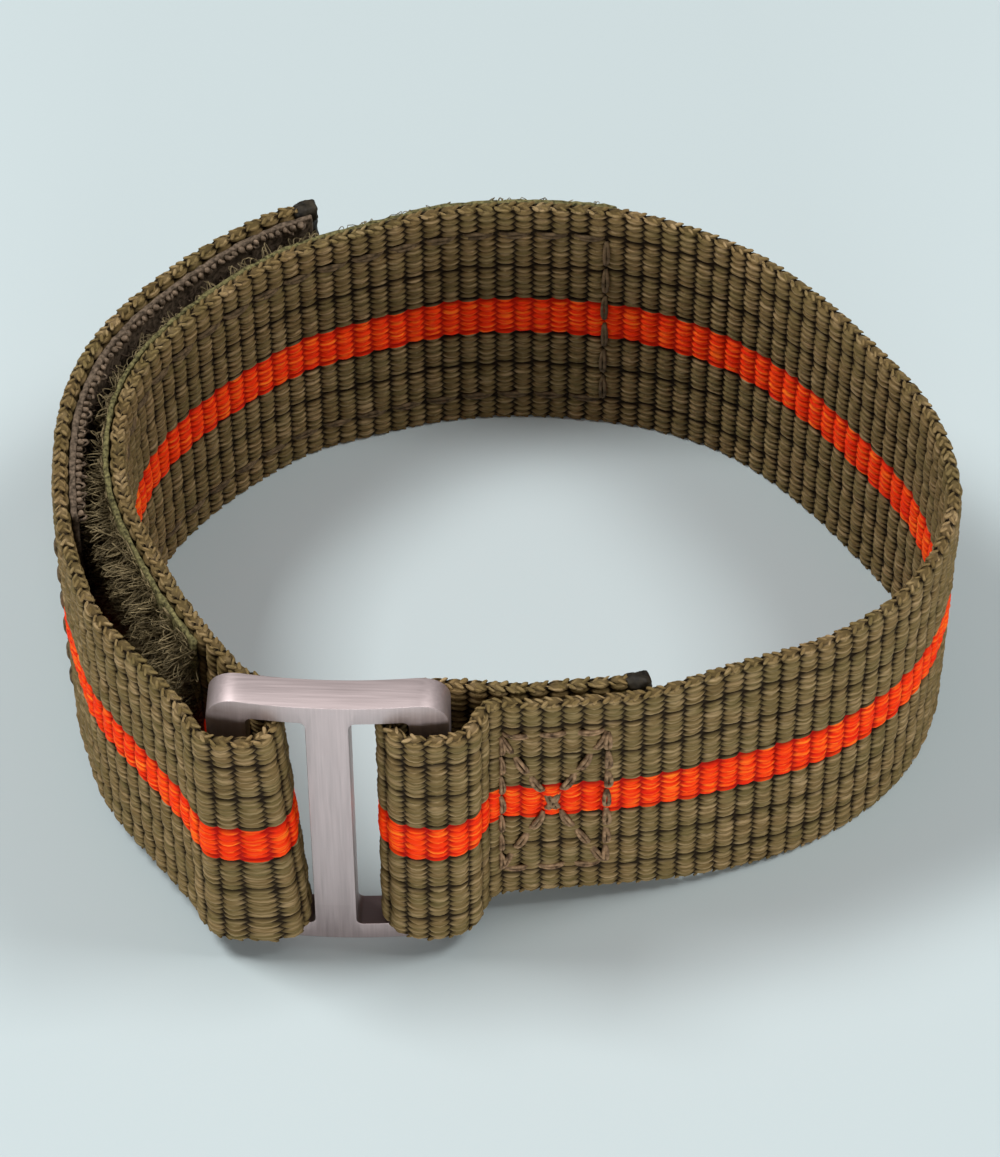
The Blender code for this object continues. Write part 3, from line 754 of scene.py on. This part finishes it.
def sew(name, stitches, face, thread, sunk):  # face is how far out the webbing's surface is
    bpy.ops.curve.primitive_bezier_curve_add(location=(0, 0, 0))
    seam = bpy.context.object
    seam.name = name
    seam.data.splines.clear()
    seam.data.dimensions = "3D"
    seam.data.bevel_depth = sewing["radius"] * mm
    seam.data.bevel_resolution = 1
    seam.data.use_fill_caps = True
    out = 1.0 if face > 0.0 else -1.0
    for (ax, az), (bx, bz) in stitches:
        length = math.dist((ax, az), (bx, bz))
        sideX, sideZ = -(bz - az) / length, (bx - ax) / length
        wobble = random.uniform(-sewing["wobble"], sewing["wobble"])
        sink = sunk + sewing["rowSink"] * abs(bx - ax) / length   # rows along the strap lie deeper
        for strand in (-1.0, 1.0):
            path = seam.data.splines.new("POLY")
            path.points.add(sewing["steps"])
            bow = strand * sewing["apart"] * random.uniform(*sewing["apartSpread"])
            for k, point in enumerate(path.points):
                t = k / sewing["steps"]
                arch = math.sin(math.pi * t)
                aside = bow * arch ** 0.6 + wobble * arch
                rise = (sewing["rise"] + sewing["dive"]) * arch ** 0.55 - sewing["dive"]
                point.co = ((ax + (bx - ax) * t + sideX * aside) * mm,
                            (face + out * (rise - sink)) * mm,
                            (az + (bz - az) * t + sideZ * aside) * mm, 1.0)
    pick(seam)
    bpy.ops.object.convert(target="MESH")
    seam = bpy.context.object
    seam.data.materials.clear()
    seam.data.materials.append(thread)
    bpy.ops.object.shade_smooth()
    layOnRoute(seam)
    return seam


def stitchBox(low, high, bottom, top, length, crossed):
    corners = ((low, bottom), (high, bottom), (high, top), (low, top))
    lines = list(zip(corners, corners[1:] + corners[:1]))
    if crossed:
        lines += [(corners[0], corners[2]), (corners[1], corners[3])]
    return [stitch for start, end in lines for stitch in stitchLine(start, end, length)]


def boxStitches(low, high):
    return stitchBox(low, high, sewing["boxLow"], sewing["boxHigh"], sewing["length"], True)


def tapeStitches(low, high):
    return stitchBox(low, high, sewing["rowLow"], sewing["rowHigh"], sewing["tapeLength"], False)


# The tapes, in millimetres: a woven ground, with a pile of fine loops on one and rows of hooks on the
# other. Low and high are above the strap's lower edge, and the ground lies from and to a distance out
# from the middle of the webbing. The height of a loop or hook is how far it stands out from the ground.

tapes = {
    "low": 0.30,
    "high": 19.70,
    "groundFrom": 0.60,
    "loopGroundTo": 0.95,
    "hookGroundTo": 1.00,
    "groundStep": 0.45,
    "groundRows": 28,
    "groundSoftEdge": 0.12,
    "groundUneven": (0.32, 0.24),
    "hookRadius": 0.055,
    "hookHeight": (0.44, 0.54),
    "hookSpread": (0.18, 0.26),
    "hookPitch": (0.95, 0.72),
    "hookTurn": 0.35,
    "hookReach": 2.45,
    "beadSize": (0.21, 0.24, 0.21),
    "beadPitch": 0.60,
    "beadInset": 0.26,
    "beadProud": 0.15,
    "beadUneven": (0.45, 0.30),
    "edgeLoopInset": 0.75,
    "edgeLoopPitch": 0.95,
    "edgeLoopHeight": (0.45, 0.80),
    "edgeLoopSpread": (0.18, 0.30),
    "edgeLoopRadius": 0.105,
    "edgeLoopPressed": 0.6,
}

# Pile: each patch's start and end along the route, its bottom and top, loops per square millimetre, how
# high they stand, and over what width they grow shorter towards the patch's edge

wholeTape = (route["loopTapeFrom"], route["loopTapeTo"])
pile = {
    "loopTapePile": (*wholeTape, 0.5, 19.1, 3.8, (0.22, 0.50), None),
    "loopTapeUpperFringe": (*wholeTape, 18.8, 19.2, 10.0, (0.10, 0.24), None),
    "loopTapeLoosePile": (138.57, wholeTape[1], 6.0, 19.0, 6.0, (0.70, 2.10), 5.0),
    "loopTapeLiftedPile": (115.57, 138.57, 11.0, 19.1, 6.5, (0.45, 1.10), 4.0),
}

pileLoops = {
    "radius": 0.034,
    "spread": (0.14, 0.42),
    "lean": 0.45,
    "tufts": (2.3, 1.1),
    "turn": 0.7,
    "turnBetween": (0.2, 19.9),
    "turnWithin": 0.8,
    "leanBetween": (0.45, 19.7),
    "edgeHeight": 0.3,
}


def ground(name, low, high, outTo, material):  # the woven ground of a tape, flat
    length, height = high - low, tapes["high"] - tapes["low"]
    bpy.ops.mesh.primitive_grid_add(x_subdivisions=round(length / tapes["groundStep"]),
                                    y_subdivisions=tapes["groundRows"], size=1.0,
                                    rotation=(math.radians(90.0), 0.0, 0.0))
    made = bpy.context.object
    made.name = name
    placeInMesh(made)
    made.scale = (length * mm, 1.0, height * mm)
    made.location = ((low + high) / 2.0 * mm, 0.0, (tapes["low"] + tapes["high"]) / 2.0 * mm)
    placeInMesh(made)
    thick = made.modifiers.new("thickness", "SOLIDIFY")
    thick.thickness = (outTo - tapes["groundFrom"]) * mm
    thick.offset = 0.0
    softEdge = made.modifiers.new("soft edges", "BEVEL")
    softEdge.width = tapes["groundSoftEdge"] * mm
    softEdge.segments = 3
    softEdge.limit_method = "ANGLE"
    softEdge.angle_limit = math.radians(50)
    roughen(made, *tapes["groundUneven"])
    applyAll(made)
    co = places(made)
    co[:, 1] -= (outTo + tapes["groundFrom"]) / 2.0 * mm
    setPlaces(made, co)
    made.data.materials.append(material)
    pick(made)
    bpy.ops.object.shade_smooth()
    return made


def growArches(name, spots, base, height, spread, turn, lean, radius, reach, material):
    # thin three-sided tubes that rise from the ground and arch over: as far as the other side where
    # the reach is half a turn, and less far for a hook
    steps, sides = 6, 3
    count = len(spots)
    angle = np.linspace(0.0, reach, steps + 1)[None, :]
    across = -spread[:, None] * np.cos(angle)
    up = height[:, None] * np.sin(np.minimum(angle, math.pi)) ** 0.8 - 0.05
    lift = np.sin(np.minimum(angle, math.pi))
    path = np.empty((count, steps + 1, 3))
    path[:, :, 0] = spots[:, :1] + np.cos(turn)[:, None] * across + lean[:, :1] * lift
    path[:, :, 1] = -(base + up)
    path[:, :, 2] = spots[:, 1:] + np.sin(turn)[:, None] * across + lean[:, 1:] * lift
    along = np.gradient(path, axis=1)
    along /= np.linalg.norm(along, axis=2, keepdims=True)
    flat = np.stack((-np.sin(turn), np.zeros(count), np.cos(turn)), axis=1)[:, None, :]
    side = np.cross(along, np.broadcast_to(flat, along.shape))
    side /= np.linalg.norm(side, axis=2, keepdims=True)
    other = np.cross(along, side)
    ring = np.arange(sides) * 2.0 * math.pi / sides
    tube = (path[:, :, None, :] + radius * (np.cos(ring)[None, None, :, None] * side[:, :, None, :]
                                            + np.sin(ring)[None, None, :, None] * other[:, :, None, :]))
    first = (np.arange(count) * (steps + 1) * sides)[:, None, None]
    step = (np.arange(steps) * sides)[None, :, None]
    k = np.arange(sides)[None, None, :]
    after = (k + 1) % sides
    quads = np.stack((first + step + k, first + step + after, first + step + sides + after,
                      first + step + sides + k), axis=3).reshape(-1, 4)
    ends = np.concatenate((first[:, 0] + np.array([[2, 1, 0]]),
                           first[:, 0] + steps * sides + np.array([[0, 1, 2]])))
    mesh = bpy.data.meshes.new(name)
    mesh.from_pydata((tube.reshape(-1, 3) * mm).tolist(), [], quads.tolist() + ends.tolist())
    made = bpy.data.objects.new(name, mesh)
    bpy.context.collection.objects.link(made)
    mesh.materials.append(material)
    pick(made)
    bpy.ops.object.mode_set(mode="EDIT")
    bpy.ops.mesh.select_all(action="SELECT")
    bpy.ops.mesh.normals_make_consistent(inside=False)
    bpy.ops.object.mode_set(mode="OBJECT")
    bpy.ops.object.shade_smooth()
    return made


def growPile(name, low, high, bottom, top, perSquare, heights, fade):
    count = int((high - low) * (top - bottom) * perSquare)
    spots = np.stack((dice.uniform(low + 0.1, high - 0.1, count),
                      dice.uniform(bottom, top, count)), axis=1)
    lean = dice.normal(0.0, pileLoops["lean"], (count, 2))
    alongTufts, upTufts = pileLoops["tufts"]   # the loops lie in tufts
    lean[:, 0] += pileLoops["lean"] * np.sin(alongTufts * spots[:, 0] + upTufts * spots[:, 1])
    lowest, highest = pileLoops["leanBetween"]   # none hangs past the strap's edges
    lean[:, 1] = np.clip(lean[:, 1], lowest - spots[:, 1], highest - spots[:, 1])
    lowest, highest = pileLoops["turnBetween"]
    turn = dice.normal(0.0, pileLoops["turn"], count)
    room = np.minimum(highest - spots[:, 1], spots[:, 1] - lowest) / pileLoops["turnWithin"]
    turn *= np.clip(room, 0.1, 1.0)
    height = dice.uniform(*heights, count)
    if fade:
        edge = np.minimum((spots[:, 0] - low) / fade, (spots[:, 1] - bottom) / fade)
        height *= pileLoops["edgeHeight"] + (1.0 - pileLoops["edgeHeight"]) * eased(edge)
    spread = dice.uniform(*pileLoops["spread"], count)
    return growArches(name, spots, tapes["loopGroundTo"], height, spread, turn, lean,
                      pileLoops["radius"], math.pi, fibres["pileNylon"])


def growEdgeLoops(name, low, high):  # the knotted loops along the hook tape's edges
    xs = np.arange(low + 0.3, high - 0.3, tapes["edgeLoopPitch"])
    rows = (tapes["edgeLoopInset"], webbing["width"] - tapes["edgeLoopInset"])
    spots = np.concatenate([np.stack((xs, np.full_like(xs, z)), axis=1) for z in rows])
    spots += dice.normal(0.0, 0.06, spots.shape)
    count = len(spots)
    height = dice.uniform(*tapes["edgeLoopHeight"], count)
    held = spots[:, 0] > route["tipHinge"] - 3.0   # pressed flat where the tapes hold
    height[held] *= tapes["edgeLoopPressed"]
    spread = dice.uniform(*tapes["edgeLoopSpread"], count)
    turn = dice.normal(0.6, 0.6, count)
    lean = dice.normal(0.0, 0.08, (count, 2))
    return growArches(name, spots, tapes["hookGroundTo"] - 0.05, height, spread, turn, lean,
                      tapes["edgeLoopRadius"], math.pi, fibres["hookNylon"])


def growHooks(name, low, high):
    alongPitch, upPitch = tapes["hookPitch"]
    xs = np.arange(low + 0.5, high - 0.3, alongPitch)
    zs = np.arange(tapes["low"] + 1.2, tapes["high"] - 1.0, upPitch)
    spots = np.array([(x + (0.5 * alongPitch if k % 2 else 0.0), z)
                      for x in xs for k, z in enumerate(zs)])
    spots = spots[spots[:, 0] < high - 0.2]
    count = len(spots)
    spots += dice.normal(0.0, 0.05, (count, 2))
    turn = np.where(dice.random(count) < 0.5, tapes["hookTurn"], math.pi - tapes["hookTurn"])
    turn += dice.normal(0.0, 0.15, count)
    height = dice.uniform(*tapes["hookHeight"], count)
    spread = dice.uniform(*tapes["hookSpread"], count)
    return growArches(name, spots, tapes["hookGroundTo"], height, spread, turn, np.zeros((count, 2)),
                      tapes["hookRadius"], tapes["hookReach"], fibres["hookNylon"])


def edgeBeads(name, low, high):  # the bead-like loops along both edges of the hook tape
    bpy.ops.mesh.primitive_uv_sphere_add(segments=8, ring_count=6, radius=1.0)
    bead = bpy.context.object
    bead.name = name
    bead.scale = [size * mm for size in tapes["beadSize"]]
    bead.location = ((low + 0.4) * mm, -(tapes["hookGroundTo"] + tapes["beadProud"]) * mm,
                     (tapes["high"] - tapes["beadInset"]) * mm)
    placeInMesh(bead)
    repeat = bead.modifiers.new("along", "ARRAY")
    repeat.count = int((high - low - 0.6) / tapes["beadPitch"])
    repeat.use_relative_offset = False
    repeat.use_constant_offset = True
    repeat.constant_offset_displace = (tapes["beadPitch"] * mm, 0.0, 0.0)
    lower = bead.modifiers.new("lower edge", "ARRAY")
    lower.count = 2
    lower.use_relative_offset = False
    lower.use_constant_offset = True
    lower.constant_offset_displace = (0.0, 0.0,
                                      -(tapes["high"] - tapes["low"] - 2.0 * tapes["beadInset"]) * mm)
    roughen(bead, *tapes["beadUneven"])
    applyAll(bead)
    bead.data.materials.append(fibres["hookNylon"])
    bpy.ops.object.shade_smooth()
    return bead


# The webbing's ends, cut hot, in millimetres: melted, lumpy and dark

melted = {
    "swell": 0.04,
    "taller": 0.05,
    "overlap": 0.25,
    "rounding": 0.38,
    "voxel": 0.15,
    "lumpSize": 0.6,
    "lumps": 0.46,
}


def meltedEnd(name, low, high):
    half = webbing["halfThickness"] + melted["swell"]
    bpy.ops.mesh.primitive_cube_add(size=1.0,
                                    location=((low + high) / 2.0 * mm, 0.0, webbing["width"] / 2.0 * mm))
    end = bpy.context.object
    end.name = name
    end.scale = ((high - low) * mm, 2.0 * half * mm, (webbing["width"] + melted["taller"]) * mm)
    placeInMesh(end)
    rounded = end.modifiers.new("rounded", "BEVEL")
    rounded.width = melted["rounding"] * mm
    rounded.segments = 4
    fine = end.modifiers.new("fine", "REMESH")
    fine.mode = "VOXEL"
    fine.voxel_size = melted["voxel"] * mm
    applyAll(end)
    roughen(end, melted["lumpSize"], melted["lumps"])
    smooth = end.modifiers.new("smooth", "SMOOTH")
    smooth.iterations = 2
    applyAll(end)
    end.data.materials.append(fibres["meltedNylon"])
    bpy.ops.object.shade_smooth()
    layOnRoute(end)
    return end


# How the pieces are fastened: on one body; a piece between the two that meet at a hinge is put on
# neither, and its place is kept in its mesh

hinges = {
    ("strap", "tail_root"): "rootHinge",
    ("tail_root", "tail_middle"): "middleHinge",
    ("tail_middle", "tail_tip"): "tipHinge",
}
bendReach = 2.0   # millimetres on each side of a hinge, where the route is probed


def fasten(piece, bodies, stands):
    if len(bodies) == 1:
        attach(piece, bodies[0])
    else:
        place = route[hinges[bodies]]
        routePlace(place - bendReach)
        routePlace(place + bendReach)
        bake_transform(piece)
    if stands:
        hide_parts(*stands)


# Making

placeCamera()
bpy.context.scene.view_settings.view_transform = "Standard"
routeLine = drawRoute()
oliveNylon = nylonMaterial("oliveNylon", nylon["olive"], 0.0)
orangeNylon = nylonMaterial("orangeNylon", nylon["orange"], nylon["orangePaintedGlow"])
satinSteel = steelMaterial()
fibres = {name: fibreMaterial(name, *look) for name, look in fibreLooks.items()}
print("materials made")

# Lengths of webbing: first and last unit, where the melted ends cut it, bodies, the node it stands for

lengths = {
    "webbingFront": (0, 18, (route["meltedLength"], None), ("strap",), ("webbing_main",)),
    "webbingRight": (18, 36, None, ("strap",), ()),
    "webbingBack": (36, 53, None, ("strap",), ()),
    "webbingLeft": (53, 70, None, ("strap",), ()),
    "webbingTailRoot": (70, 73, None, ("strap", "tail_root"), ("webbing_tail_root",)),
    "webbingTailMiddle": (73, 80, None, ("tail_root", "tail_middle"), ("webbing_tail_middle",)),
    "webbingTailTip": (80, 92, (None, route["end"] - route["meltedLength"]),
                       ("tail_middle", "tail_tip"), ("webbing_tail_tip",)),
}
webbingUnit = makeUnit()
print("webbing unit:", len(webbingUnit.data.polygons), "faces")
for name, (first, last, trim, bodies, stands) in lengths.items():
    piece = weavePiece(name, first, last, trim)
    fasten(piece, bodies, stands)
    print(name, len(piece.data.polygons), "faces")
bpy.data.objects.remove(webbingUnit, do_unlink=True)

buckleFrame = makeBuckle()
fasten(buckleFrame, ("buckle",), ("buckle_frame",))
print("buckle made:", len(buckleFrame.data.polygons), "faces")

# Seams: the stitches, the face they lie on, the thread, how deep they sink, nodes and bodies

outside, inside = -webbing["halfThickness"], webbing["halfThickness"]
tailBodies = ("tail_middle", "tail_tip")
seams = {
    "boxSeamOuter": (boxStitches(route["boxFrom"], route["boxTo"]), outside, "tanThread", 0.0,
                     ("box_seam_outer",), ("strap",)),
    "boxSeamInner": (boxStitches(route["innerBoxFrom"], route["innerBoxTo"]), outside, "tanThread", 0.0,
                     ("box_seam_inner",), ("strap",)),
    "loopTapeSeam": (tapeStitches(route["loopTapeFrom"] + 0.5, route["loopTapeTo"] - 0.5), inside,
                     "brownThread", 0.05, ("loop_tape_seam",), ("strap",)),
    "hookTapeSeam": (tapeStitches(route["hookTapeFrom"] + 0.5, route["end"] - 2.4), inside,
                     "brownThread", 0.10, ("hook_tape_seam_middle", "hook_tape_seam_tip"), tailBodies),
}
for name, (stitches, face, thread, sunk, stands, bodies) in seams.items():
    seam = sew(name, stitches, face, fibres[thread], sunk)
    fasten(seam, bodies, stands)
    print(name, len(stitches), "stitches")

hookFrom, hookTo = route["hookTapeFrom"], route["hookTapeTo"]
loopPieces = [ground("loopTapeGround", *wholeTape, tapes["loopGroundTo"], fibres["loopGround"])]
loopPieces += [growPile(name, *patch) for name, patch in pile.items()]
hookPieces = [
    ground("hookTapeGround", hookFrom, hookTo, tapes["hookGroundTo"], fibres["hookGround"]),
    edgeBeads("hookTapeBeads", hookFrom, hookTo),
    growEdgeLoops("hookTapeEdgeLoops", hookFrom, hookTo),
    growHooks("hookTapeHooks", hookFrom, hookTo),
]
for pieces, bodies, stands, slot in (
    (loopPieces, ("strap",), ("loop_tape",), "loop_tape"),
    (hookPieces, tailBodies, ("hook_tape_middle", "hook_tape_tip"), "hook_tape"),
):
    for piece in pieces:
        layOnRoute(piece)
        fasten(piece, bodies, stands if piece is pieces[0] else ())
        print(piece.name, len(piece.data.polygons), "faces")

meltedLength = route["meltedLength"] + melted["overlap"]
for name, low, high, body, stands in (
    ("meltedEndInside", 0.0, meltedLength, "strap", "sealed_end_inside"),
    ("meltedEndTail", route["end"] - meltedLength, route["end"], "tail_tip", "sealed_end_tail"),
):
    piece = meltedEnd(name, low, high)
    fasten(piece, (body,), (stands,))
print("melted ends made")

bpy.data.objects.remove(routeLine, do_unlink=True)

# The floor and the light, in metres: each lamp's place, power and size

studio = {
    "floorSize": 3.0,
    "floorColour": (0.510, 0.590, 0.604),
    "floorRoughness": 0.9,
    "lampsAim": (0.0, 0.0, 0.01),
    "lamps": (
        ("keyLamp", (-0.25, 0.04, 0.42), 1.72, 0.15),
        ("rightLamp", (0.24, 0.02, 0.38), 0.95, 0.15),
        ("frontLamp", (0.05, -0.43, 0.055), 1.08, 0.13),
    ),
    "worldColour": (1.0, 0.98, 0.97),
    "worldStrength": 0.245,
}


def areaLamp(name, place, energy, size):
    aim = Vector(studio["lampsAim"]) - Vector(place)
    bpy.ops.object.light_add(type="AREA", location=place,
                             rotation=aim.to_track_quat("-Z", "Y").to_euler())
    lamp = bpy.context.object
    lamp.name = name
    lamp.data.energy = energy
    lamp.data.size = size


def layFloor():
    bpy.ops.mesh.primitive_plane_add(size=studio["floorSize"], location=(0, 0, 0))
    floor = bpy.context.object
    floor.name = "floor"
    material, tree, shader = newMaterial("paleFloor")
    shader.inputs["Base Color"].default_value = (*studio["floorColour"], 1.0)
    shader.inputs["Roughness"].default_value = studio["floorRoughness"]
    floor.data.materials.append(material)


def lightWorld():
    world = bpy.data.worlds.new("studio")
    bpy.context.scene.world = world
    world.use_nodes = True
    sky = world.node_tree.nodes["Background"]
    sky.inputs["Color"].default_value = (*studio["worldColour"], 1.0)
    sky.inputs["Strength"].default_value = studio["worldStrength"]


layFloor()
for lamp in studio["lamps"]:
    areaLamp(*lamp)
lightWorld()
print("floor and lights made")
